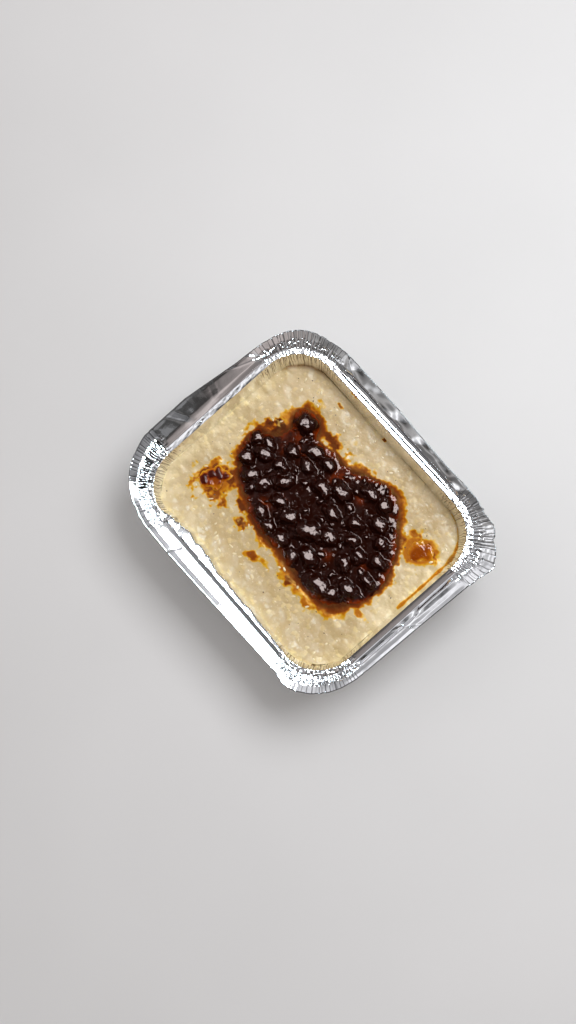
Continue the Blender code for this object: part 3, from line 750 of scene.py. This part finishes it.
def build_flange(rim, material):
    """The ledge and the flange, over the hem and back along the underside."""
    places = np.concatenate((np.linspace(0, 1, 17), 1 + np.linspace(0.02, 0.985, 27)))
    hem = hem_rows(rim)
    under = [rim_row(rim, place, SKIN) for place in np.linspace(1.93, 0.06, 14)]
    rows = [rim_row(rim, place, 0) for place in places] + hem + under
    faces = grid_faces(len(rows), len(rim.arc), True)
    shade = [fold_shade(rim, place) for place in places]
    # Painted shade on the hem; none on the underside.
    shade += [HEM_SHADE + 0 * rim.arc] * len(hem) + [0 * rim.arc] * len(under)
    attributes = {"shade": np.concatenate(shade)}
    return mesh_object("foil_tray_flange", np.concatenate(rows), faces, material, attributes)


# The mash
def mash_level(y):
    """Height of the mash without its lumps. It lies a little higher at the -Y side."""
    return LEDGE_Z - MASH_DEPTH + MASH_SLOPE_Y * y


def grain_cells(x, y):
    """Distance to the nearest large grain as a share of its size, and that grain's number."""
    return cells(x + 0.6 * MM * field(x, y, 3 * MM, 5), y, GRAIN_SIZE, 11)


def mash_height(x, y):
    """Lumpy, grainy top of the mash, level under the sauce and smeared up the -Y wall."""
    nearest = np.max([depth_inside(x, y, outline) for outline in OUTLINES], axis=0)
    free = fade(-nearest / FLAT_MARGIN - 0.35)
    places = [Vector((a, b, SEED * LUMP_SIZE)) for a, b in zip(x.ravel().tolist(), y.ravel().tolist())]
    lumps = np.array([noise.noise(place / LUMP_SIZE) for place in places]).reshape(x.shape)
    swells = np.array([noise.noise(place / SWELL_SIZE) for place in places]).reshape(x.shape)
    wall = RIM_Y / 2 - MASH_DEPTH * (RIM_Y - BASE_Y) / 2 / LEDGE_Z
    smear = SMEAR_HEIGHT * fade((-y - wall) / SMEAR_WIDTH + 1)
    coarse, number = grain_cells(x, y)
    fine, _ = cells(x, y + 0.3 * MM * field(x, y, 2 * MM, 6), FINE_GRAIN_SIZE, 12)
    grains = GRAIN_HEIGHT * number * np.clip(1 - (coarse / 0.62) ** 2, 0, 1)
    grains += FINE_GRAIN_HEIGHT * np.clip(1 - (fine / 0.6) ** 2, 0, 1)
    lumpy = free * (LUMP_HEIGHT * lumps + SWELL_HEIGHT * swells)
    return mash_level(y) + lumpy + smear + grains * (0.25 + 0.75 * free)


def rounded_box_depth(x, y, half_x, half_y, corner):
    """Distance inside a rounded rectangle, negative outside, and the outward direction."""
    over_x = np.abs(x) - (half_x - corner)
    over_y = np.abs(y) - (half_y - corner)
    past_x, past_y = np.maximum(over_x, 0), np.maximum(over_y, 0)
    past = np.hypot(past_x, past_y)
    depth = corner - past - np.minimum(np.maximum(over_x, over_y), 0)
    flat = np.where(past > 0, past, 1)
    return depth, np.sign(x) * past_x / flat, np.sign(y) * past_y / flat


def stain_strength(x, y):
    """How much oil lies on the mash: 1 at the sauce's edge, fading outwards, and in the stains."""
    ragged = 1 + layered(x, y, STAIN_WARP)
    broad = ragged - 0.35 + 0.9 * np.maximum(0, field(x, y, 8 * MM, 23))
    stain = np.zeros(x.shape)
    for outline, (width, most) in zip(OUTLINES, HALOS):
        halo = 1 + depth_inside(x, y, outline) / (width * np.maximum(broad, 0.2))
        stain = np.maximum(stain, most * np.clip(halo, 0, 1))
    for centre_x, centre_y, radius_x, radius_y, strength in STAINS:
        far = np.hypot((x / MM - centre_x) / radius_x, (y / MM - centre_y) / radius_y)
        stain = np.maximum(stain, strength * np.clip(1.5 * ragged - 1.5 * far, 0, 1))
    gap = distance_to_line(x, y, OIL_LINE) + 0.3 * MM * field(x, y, 4 * MM, 24)
    stain = np.maximum(stain, OIL_LINE_STRENGTH * np.clip(1.5 - gap / OIL_LINE_WIDTH, 0, 1))
    return np.clip(stain, 0, 1)


def contact_shade_and_oil_strength(x, y):
    """How brown the mash is where it meets the foil, from 0 to 1: partly oil, partly painted shade."""
    depth, _, _ = rounded_box_depth(x, y, *wall_sizes(LEDGE_Z - MASH_DEPTH))
    uneven = 0.75 + 0.6 * field(x, y, 7 * MM, 25)
    corners = fade((np.abs(x) - 38 * MM) / (12 * MM)) * fade((y - 28 * MM) / (10 * MM))
    contact_shade_and_oil = np.clip(1.25 - depth / (CONTACT_WIDTH * (0.6 + uneven)), 0, 1)
    return contact_shade_and_oil * np.clip(uneven, 0, 1) * (0.1 + 0.8 * corners)


def onto_wall(x, y):
    """Moves points outside the tray's wall onto it, and says which those are."""
    sizes = [size + 0.2 * MM for size in wall_sizes(mash_level(y) + SMEAR_HEIGHT * (y < SMEAR_LINE))]
    depth, out_x, out_y = rounded_box_depth(x, y, *sizes)
    outside = depth < 0
    return np.where(outside, x + out_x * depth, x), np.where(outside, y + out_y * depth, y), outside


def build_mash(material):
    """The mash as one closed body: a fine grid that ends at the foil, with plain sides below."""
    half_x, half_y, _ = wall_sizes(LEDGE_Z)
    xs = np.arange(-half_x, half_x + MASH_MESH, MASH_MESH)
    ys = np.arange(-half_y, half_y + MASH_MESH, MASH_MESH)
    x, y = (axis.ravel() for axis in np.meshgrid(xs, ys))
    x, y, outside = onto_wall(x, y)
    x, y, _ = onto_wall(x, y)
    z = mash_height(x, y)
    quads = grid_faces(len(ys), len(xs), False)
    quads = quads[~outside[quads].all(axis=1)]
    used, renumbered = np.unique(quads, return_inverse=True)
    quads = renumbered.reshape(-1, 4)
    x, y, z = x[used], y[used], z[used]
    tone = 0.5 + layered(x, y, TONE_PATCHES)
    # Painted shade: the mash is darker over its -Y half, except towards -X.
    tone -= 0.35 * fade((-y - 16 * MM) / (20 * MM)) * fade((x + 40 * MM) / (20 * MM))
    _, number = grain_cells(x, y)
    attributes = {
        "stain": stain_strength(x, y),
        "tone": tone,
        "kernel": number,
        "contact_shade_and_oil": contact_shade_and_oil_strength(x, y),
    }
    mash = mesh_object("mash_body", np.column_stack((x, y, z)), quads, material, attributes)
    close_below(mash)
    return mash


def close_below(mash):
    """Gives the mash its sides and underside."""
    bm = bmesh.new()
    bm.from_mesh(mash.data)
    rim = [edge for edge in bm.edges if edge.is_boundary]
    lowered = bmesh.ops.extrude_edge_only(bm, edges=rim)["geom"]
    foot_x, foot_y, _ = wall_sizes(FOIL)
    top_x, top_y, _ = wall_sizes(LEDGE_Z - MASH_DEPTH)
    low = [item for item in lowered if isinstance(item, bmesh.types.BMVert)]
    for vert in low:
        vert.co.x *= (foot_x - BASE_ROUNDING) / top_x
        vert.co.y *= (foot_y - BASE_ROUNDING) / top_y
        vert.co.z = FOIL + GAP
    edges = [item for item in lowered if isinstance(item, bmesh.types.BMEdge)]
    bmesh.ops.holes_fill(bm, edges=edges)
    bmesh.ops.recalc_face_normals(bm, faces=bm.faces)
    bm.to_mesh(mash.data)
    bm.free()


def free_places(rng, count, half_y, margin):
    """Random points on the mash, at least this far from the pool."""
    x = rng.uniform(-60, 60, count) * MM
    y = rng.uniform(-half_y, half_y, count) * MM
    points = np.column_stack((x, y, mash_height(x, y)))
    return points[depth_inside(x, y, OUTLINES[0]) < -margin]


def build_pepper(material):
    """Tiny dark flakes on the mash."""
    rng = np.random.default_rng(SEED)
    places = []
    for point in free_places(rng, PEPPER_COUNT, 47, 2 * MM):
        radius = rng.uniform(*PEPPER_RADIUS)
        places.append((point, (1.4 * radius, radius, 0.6 * radius), rng.uniform(0, math.pi)))
    return joined_copies("pepper_flakes", 1, places, material)


def build_kernels(material):
    """Pale yellow grains, part sunk in the mash."""
    rng = np.random.default_rng(SEED + 1)
    places = []
    for x, y, z in free_places(rng, KERNEL_COUNT, 48, 2.5 * MM):
        length, width = rng.uniform(0.7, 1.5) * MM, rng.uniform(0.4, 0.75) * MM
        halves = (length, width, 0.7 * width)
        places.append(((x, y, z - 0.35 * width), halves, rng.uniform(0, math.pi)))
    return joined_copies("mash_kernels", 2, places, material)


# The sauce
def pool_lumps():
    """(x, y, half length, half width, half height, turn, tilt) of each lump in the pool."""
    rng = np.random.default_rng(SEED)
    lumps = []
    for x, y, half_length, half_width, degrees in CHUNKS:
        height = CHUNK_HEIGHT_SHARE * half_width * MM
        half_length, half_width = CHUNK_SWELL * half_length * MM, CHUNK_SWELL * half_width * MM
        tilt = (rng.uniform(-0.2, 0.0), -CHUNK_TILT * rng.uniform(0.55, 1.1))
        lumps.append((x * MM, y * MM, half_length, half_width, height, math.radians(degrees), tilt))
    taken = [(lump[0], lump[1]) for lump in lumps]
    for _ in range(SMALL_LUMPS):
        draws = rng.uniform((-50, -27), (52, 38), (40, 2)) * MM
        draws = draws[depth_inside(draws[:, 0], draws[:, 1], OUTLINES[0]) > 1.6 * MM]
        room = [min(math.dist(draw, other) for other in taken) for draw in draws]
        x, y = draws[int(np.argmax(room))]
        taken.append((x, y))
        radius = rng.uniform(*SMALL_LUMP_RADIUS)
        lumps.append((x, y, 1.4 * radius, radius, 0.7 * radius, rng.uniform(0, math.pi), (0, -0.3)))
    return lumps


def splash_lumps(beads, share):
    """Round lumps in a splash, from (x, y, radius) in mm."""
    return [(x * MM, y * MM, 1.2 * r * MM, r * MM, share * r * MM, x, (0, 0)) for x, y, r in beads]


def sauce_height(x, y, outline, full, lumps):
    """Top of the sauce above the mash's level, the thin film's own top, and the depth inside the outline."""
    depth = depth_inside(x, y, outline) + layered(x, y, EDGE_WARP)
    film = full * fade(depth / SHOULDER * 0.7 + 0.15) - 0.16 * MM
    film = film + full * layered(x, y, FILM_SWELL) * fade(depth / (3 * MM))
    top = film.copy()
    warped_x = x + layered(x, y, LUMP_WARP_X)
    warped_y = y + layered(x, y, LUMP_WARP_Y)
    for lump_x, lump_y, half_length, half_width, half_height, turn, tilt in lumps:
        right = (warped_x - lump_x) * math.cos(turn) + (warped_y - lump_y) * math.sin(turn)
        up = (warped_y - lump_y) * math.cos(turn) - (warped_x - lump_x) * math.sin(turn)
        far = (np.abs(right / half_length) ** 2.4 + np.abs(up / half_width) ** 2.4) ** (1 / 2.4)
        near = far < 1.6
        rounded = np.clip(1 - far[near] ** 4, 0, 1) ** 0.7 - 2.0 * np.clip(far[near] - 1, 0, None)
        leaning = tilt[0] * (x[near] - lump_x) + tilt[1] * (y[near] - lump_y)
        wrinkle = 0.5 - np.abs(field(right[near], 2.2 * up[near], WRINKLE_SIZE, 68))
        wrinkle = WRINKLE_HEIGHT * wrinkle * fade(1.3 - far[near]) * min(1, half_width / (2 * MM))
        cap = half_height * (0.75 + rounded) + 0.5 * full + wrinkle + leaning
        top[near] = smooth_max(top[near], cap, 0.25 * MM)
    return top, film, depth


def sauce_thickness(x, y, depth, lump, darkness):
    """How thick the sauce looks, from 0 to 1: thin at its edge and at the glimpses, thick in its lumps."""
    thin = fade((depth + DIP) / (THIN_EDGE * (1 + 0.6 * field(x, y, 4 * MM, 70))))
    ragged = 1 + layered(x, y, GLIMPSE_WARP)
    glimpse = np.zeros(x.shape)
    for spot_x, spot_y, radius in GLIMPSES:
        far = np.hypot(x / MM - spot_x, y / MM - spot_y)
        glimpse = np.maximum(glimpse, np.clip(ragged * bell(far, 0, radius), 0, 1))
    film_darkness, lump_darkness = darkness
    return np.clip(film_darkness * thin * (1 - 0.6 * glimpse * (1 - lump)) + lump_darkness * lump, 0, 1)


def build_sauce(name, outline, full, lumps, darkness, material):
    """A sheet over the mash that dips into it all round the outline."""
    low, high = outline.min(axis=0) - 1.5 * MM, outline.max(axis=0) + 1.5 * MM
    xs, ys = np.arange(low[0], high[0], SAUCE_MESH), np.arange(low[1], high[1], SAUCE_MESH)
    x, y = (axis.ravel() for axis in np.meshgrid(xs, ys))
    top, film, depth = sauce_height(x, y, outline, full, lumps)
    quads = grid_faces(len(ys), len(xs), False)
    quads = quads[(depth[quads] > -DIP).any(axis=1)]
    used, renumbered = np.unique(quads, return_inverse=True)
    x, y, top, film, depth = (values[used] for values in (x, y, top, film, depth))
    points = np.column_stack((x, y, mash_level(y) + top))
    lump = fade((top - film - 0.2 * MM) / (1.2 * MM))
    attributes = {"thickness": sauce_thickness(x, y, depth, lump, darkness)}
    return mesh_object(name, points, renumbered.reshape(-1, 4), material, attributes)


def build_drops(name, outline, full, lumps, count, material):
    """Tiny bubbles and seeds that catch the light on the sauce."""
    rng = np.random.default_rng(SEED + 3)
    low, high = outline.min(axis=0), outline.max(axis=0)
    x, y = rng.uniform(low, high, (4 * count, 2)).T
    x, y = (values[depth_inside(x, y, outline) > 0.8 * MM][:count] for values in (x, y))
    top, _, _ = sauce_height(x, y, outline, full, lumps)
    places = []
    for k in range(len(x)):
        radius = rng.uniform(*DROP_RADIUS)
        centre = (x[k], y[k], mash_level(y[k]) + top[k])
        places.append((centre, (radius, 0.8 * radius, 0.6 * radius), rng.uniform(0, math.pi)))
    drops = joined_copies(name, 2, places, material)
    layer = drops.data.attributes.new("thickness", "FLOAT", "POINT")
    layer.data.foreach_set("value", np.full(len(drops.data.vertices), 0.8, np.float32))
    return drops


# Materials
# Colours in a mix node are numbered, because its names stand for several inputs each
FIRST_COLOUR = 6
SECOND_COLOUR = 7
MIXED_COLOUR = 2


def new_material(name):
    """A new material, its node tree and its shader."""
    made = bpy.data.materials.new(name)
    made.use_nodes = True
    tree = made.node_tree
    return made, tree, tree.nodes["Principled BSDF"]


def feed(tree, node, inputs):
    """Gives each named input a fixed value, or links it to another node's output."""
    for key, value in inputs.items():
        if isinstance(value, bpy.types.NodeSocket):
            tree.links.new(value, node.inputs[key])
        else:
            node.inputs[key].default_value = value


def add_node(tree, kind, inputs, **settings):
    """A node with its inputs and named properties set."""
    node = tree.nodes.new(kind)
    for key, value in settings.items():
        setattr(node, key, value)
    feed(tree, node, inputs)
    return node


def object_place(tree, scale=(1, 1, 1)):
    """The place on the object, in scaled metres."""
    place = add_node(tree, "ShaderNodeTexCoord", {}).outputs["Object"]
    return add_node(tree, "ShaderNodeMapping", {"Vector": place, "Scale": scale}).outputs["Vector"]


def ramp(tree, source, stops):
    """A colour ramp from a number. Each stop is (position, colour)."""
    node = add_node(tree, "ShaderNodeValToRGB", {"Fac": source})
    elements = node.color_ramp.elements
    while len(elements) < len(stops):
        elements.new(0.5)
    for element, (position, colour) in zip(elements, stops):
        element.position = position
        element.color = (*colour, 1)
    return node.outputs["Color"]


def scaled(tree, source, low, high, new_low, new_high):
    """A number moved from one range to another."""
    inputs = {"Value": source, "From Min": low, "From Max": high, "To Min": new_low, "To Max": new_high}
    return add_node(tree, "ShaderNodeMapRange", inputs).outputs["Result"]


def noise_value(tree, place, scale, detail=3.0):
    """A cloudy random number from 0 to 1. The scale is in clouds per metre."""
    inputs = {"Vector": place, "Scale": scale, "Detail": detail}
    return add_node(tree, "ShaderNodeTexNoise", inputs).outputs["Fac"]


def bump(tree, heights):
    """Bumps from (source, distance in metres, strength), one after another."""
    before = {}
    for source, distance, strength in heights:
        inputs = {"Height": source, "Distance": distance, "Strength": strength, **before}
        normal = add_node(tree, "ShaderNodeBump", inputs).outputs["Normal"]
        before = {"Normal": normal}
    return normal


def mixed(tree, factor, first, second):
    """A mix of two colours. The first is a socket and the second a fixed colour."""
    node = add_node(tree, "ShaderNodeMix", {}, data_type="RGBA")
    feed(tree, node, {"Factor": factor, FIRST_COLOUR: first, SECOND_COLOUR: second})
    return node.outputs[MIXED_COLOUR]


def attribute(tree, name):
    """One of the numbers on the mesh's points."""
    return add_node(tree, "ShaderNodeAttribute", {}, attribute_name=name).outputs["Fac"]


def foil_material():
    """Bright aluminium foil with rolling lines, small dents, uneven gloss and painted shade in its folds."""
    made, tree, shader = new_material("foil")
    place = object_place(tree)
    bright = ramp(tree, noise_value(tree, place, 60), FOIL_TONES)
    # Dark brown in the walls' wrinkles: partly mash residue, partly painted shade.
    wrinkle_shade_and_residue = scaled(tree, attribute(tree, "wrinkle_shade_and_residue"), 0.1, 0.8, 0.0, 0.85)
    colour = mixed(tree, wrinkle_shade_and_residue, bright, (0.10, 0.065, 0.035, 1))
    # Painted shade: near black deep in the folds, along the +Y ledge's crease and on the hem.
    shade = scaled(tree, attribute(tree, "shade"), 0.08, 0.6, 0.0, 1.0)
    colour = mixed(tree, shade, colour, (0.014, 0.013, 0.013, 1))
    lines = noise_value(tree, object_place(tree, (40, 3000, 40)), 1, 2)
    dents = noise_value(tree, place, 420, 2)
    feed(tree, shader, {
        "Metallic": 1,
        "Base Color": colour,
        "Roughness": scaled(tree, noise_value(tree, place, 140, 4), 0.3, 0.7, 0.03, 0.08),
        "Normal": bump(tree, ((lines, 0.00002, 0.2), (dents, 0.0001, 0.3))),
    })
    return made


def mash_material():
    """Moist cream-coloured mash with paler and yellower grains, stained by oil, and partly darkened by
    painted shade.
    """
    made, tree, shader = new_material("mash")
    place = object_place(tree)
    tone = ramp(tree, attribute(tree, "tone"), MASH_TONES)
    kernel = scaled(tree, attribute(tree, "kernel"), 0.75, 1.0, 0.0, 0.6)
    colour = mixed(tree, kernel, tone, (0.74, 0.57, 0.26, 1))
    speckle = scaled(tree, noise_value(tree, place, 900, 2), 0.62, 0.75, 0.0, 0.5)
    colour = mixed(tree, speckle, colour, (0.84, 0.72, 0.50, 1))
    stain = attribute(tree, "stain")
    colour = mixed(tree, scaled(tree, stain, 0.02, 0.25, 0.0, 0.97), colour, ramp(tree, stain, OIL))
    # Brown where the mash meets the foil: partly oil, partly painted shade.
    contact_shade_and_oil = scaled(tree, attribute(tree, "contact_shade_and_oil"), 0.0, 1.0, 0.0, 0.85)
    colour = mixed(tree, contact_shade_and_oil, colour, (0.24, 0.11, 0.02, 1))
    gloss = scaled(tree, noise_value(tree, place, 260, 3), 0.35, 0.65, 0.34, 0.62)
    oiled = add_node(tree, "ShaderNodeMath", {0: stain, 1: -0.25, 2: gloss}, operation="MULTIPLY_ADD")
    feed(tree, shader, {
        "Base Color": colour,
        "Roughness": oiled.outputs["Value"],
        "Normal": bump(tree, ((noise_value(tree, place, 700, 3), 0.00025, 0.5),)),
        "Specular Tint": ramp(tree, stain, ((0.05, (1.0, 1.0, 1.0)), (0.4, (1.0, 0.55, 0.12)))),
        "Specular IOR Level": 0.22,
        "Subsurface Weight": 0.15,
        "Subsurface Radius": (1.0, 0.6, 0.3),
        "Subsurface Scale": 0.002,
    })
    return made


def sauce_material(name, stops):
    """Glossy sauce that is nearly black where it is thick and red-brown where it is thin."""
    made, tree, shader = new_material(name)
    place = object_place(tree)
    pits = scaled(tree, noise_value(tree, place, 1300, 2), 0.62, 0.70, 1.0, 0.0)
    feed(tree, shader, {
        "Base Color": ramp(tree, attribute(tree, "thickness"), stops),
        "Roughness": scaled(tree, noise_value(tree, place, 500, 3), 0.35, 0.7, 0.02, 0.09),
        "Normal": bump(tree, ((pits, 0.00012, 0.5), (noise_value(tree, place, 420, 2), 0.0003, 0.3))),
        "IOR": 1.27,
        "Specular Tint": (1.0, 0.72, 0.66, 1.0),
    })
    return made


def plain_material(name, dark, light, roughness, scale=500):
    """One uneven colour, between a dark and a light tone."""
    made, tree, shader = new_material(name)
    tone = noise_value(tree, object_place(tree), scale, 2)
    feed(tree, shader, {"Base Color": ramp(tree, tone, ((0.3, dark), (0.7, light))), "Roughness": roughness})
    return made


# The studio
def add_light(name, place, aim, width, height, power, colour):
    """A soft rectangular light that points at a spot."""
    data = bpy.data.lights.new(name, "AREA")
    data.shape = "RECTANGLE"
    data.size, data.size_y = width, height
    data.energy = power
    data.color = colour
    lamp = bpy.data.objects.new(name, data)
    lamp.location = place
    lamp.rotation_euler = (Vector(aim) - Vector(place)).to_track_quat("-Z", "Y").to_euler()
    bpy.context.scene.collection.objects.link(lamp)
    return lamp


def build_studio():
    """A pale floor, a key light beyond the +Y side, weak fills and a dim sky."""
    bpy.ops.mesh.primitive_plane_add(size=4)
    floor = bpy.context.object
    floor.name = "floor"
    floor.data.materials.append(plain_material("floor", (0.66, 0.65, 0.63), (0.70, 0.69, 0.67), 0.7, scale=6))
    centre = (0, 0, LEDGE_Z)
    add_light("key", (0.04, 0.56, 0.90), centre, 0.62, 0.5, 6.6, (0.98, 0.96, 1.0))
    shine = add_light("shine", (0.04, 0.60, 0.96), centre, 0.60, 0.50, 34, (0.76, 0.94, 1.0))
    shine.visible_diffuse = False
    fill = add_light("fill", (0, 0, 1.4), centre, 1.2, 1.2, 2.2, (1.0, 0.98, 1.0))
    fill.visible_glossy = False
    world = bpy.data.worlds.new("studio")
    world.use_nodes = True
    bpy.context.scene.world = world
    tree = world.node_tree
    place = add_node(tree, "ShaderNodeTexCoord", {}).outputs["Generated"]
    up = add_node(tree, "ShaderNodeSeparateXYZ", {"Vector": place}).outputs["Z"]
    by_height = ramp(tree, up, tuple((height, (v, v, v)) for height, v in SKY_BY_HEIGHT))
    around = add_node(tree, "ShaderNodeTexGradient", {"Vector": place}, gradient_type="RADIAL")
    by_side = ramp(tree, around.outputs["Fac"], SKY_BY_SIDE)
    both = add_node(tree, "ShaderNodeVectorMath", {0: by_height, 1: by_side}, operation="MULTIPLY")
    feed(tree, tree.nodes["Background"], {"Color": both.outputs["Vector"]})
    bpy.context.scene.view_settings.view_transform = "Standard"


def build_camera():
    """The viewpoint, nearly straight above."""
    data = bpy.data.cameras.new("camera")
    data.lens = CAMERA_LENS
    data.sensor_width = 36
    camera = bpy.data.objects.new("camera", data)
    back = CAMERA_RIGHT.cross(CAMERA_UP)
    turned = Matrix((CAMERA_RIGHT, CAMERA_UP, back)).transposed()
    camera.matrix_world = Matrix.Translation(CAMERA_PLACE) @ turned.to_4x4()
    bpy.context.scene.collection.objects.link(camera)
    bpy.context.scene.camera = camera


def dress(piece, node=None):
    """Fixes a piece to the part, and hides the plain solid that it stands for."""
    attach(piece, "root")
    if node:
        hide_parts(node)


def main():
    """The whole scene."""
    build_camera()
    build_studio()
    for piece in build_tray(foil_material()):
        dress(piece, "foil_tray")
    dress(build_mash(mash_material()), "creamy_mash")
    pool, left, right = OUTLINES
    pepper = plain_material("pepper", (0.02, 0.012, 0.008), (0.08, 0.04, 0.02), 0.6)
    dress(build_pepper(pepper))
    kernels = plain_material("kernels", (0.66, 0.52, 0.26), (0.78, 0.66, 0.42), 0.4)
    dress(build_kernels(kernels))
    dark = sauce_material("dark_sauce", DARK_SAUCE)
    brown = sauce_material("brown_sauce", BROWN_SAUCE)
    lumps = pool_lumps()
    sauce = build_sauce("sauce_pool", pool, FILM_THICKNESS, lumps, POOL_DARKNESS, dark)
    dress(sauce, "dark_sauce")
    dress(build_drops("sauce_drops", pool, FILM_THICKNESS, lumps, DROP_COUNT, dark))
    thin = 0.5 * FILM_THICKNESS
    beads = splash_lumps(LEFT_BEADS, LEFT_BEAD_HEIGHT)
    splash = build_sauce("splash_left", left, thin, beads, LEFT_DARKNESS, brown)
    dress(splash, "sauce_splash_left")
    beads = splash_lumps(RIGHT_BEADS, RIGHT_BEAD_HEIGHT)
    splash = build_sauce("splash_right", right, thin, beads, RIGHT_DARKNESS, brown)
    dress(splash, "sauce_splash_right")


main()
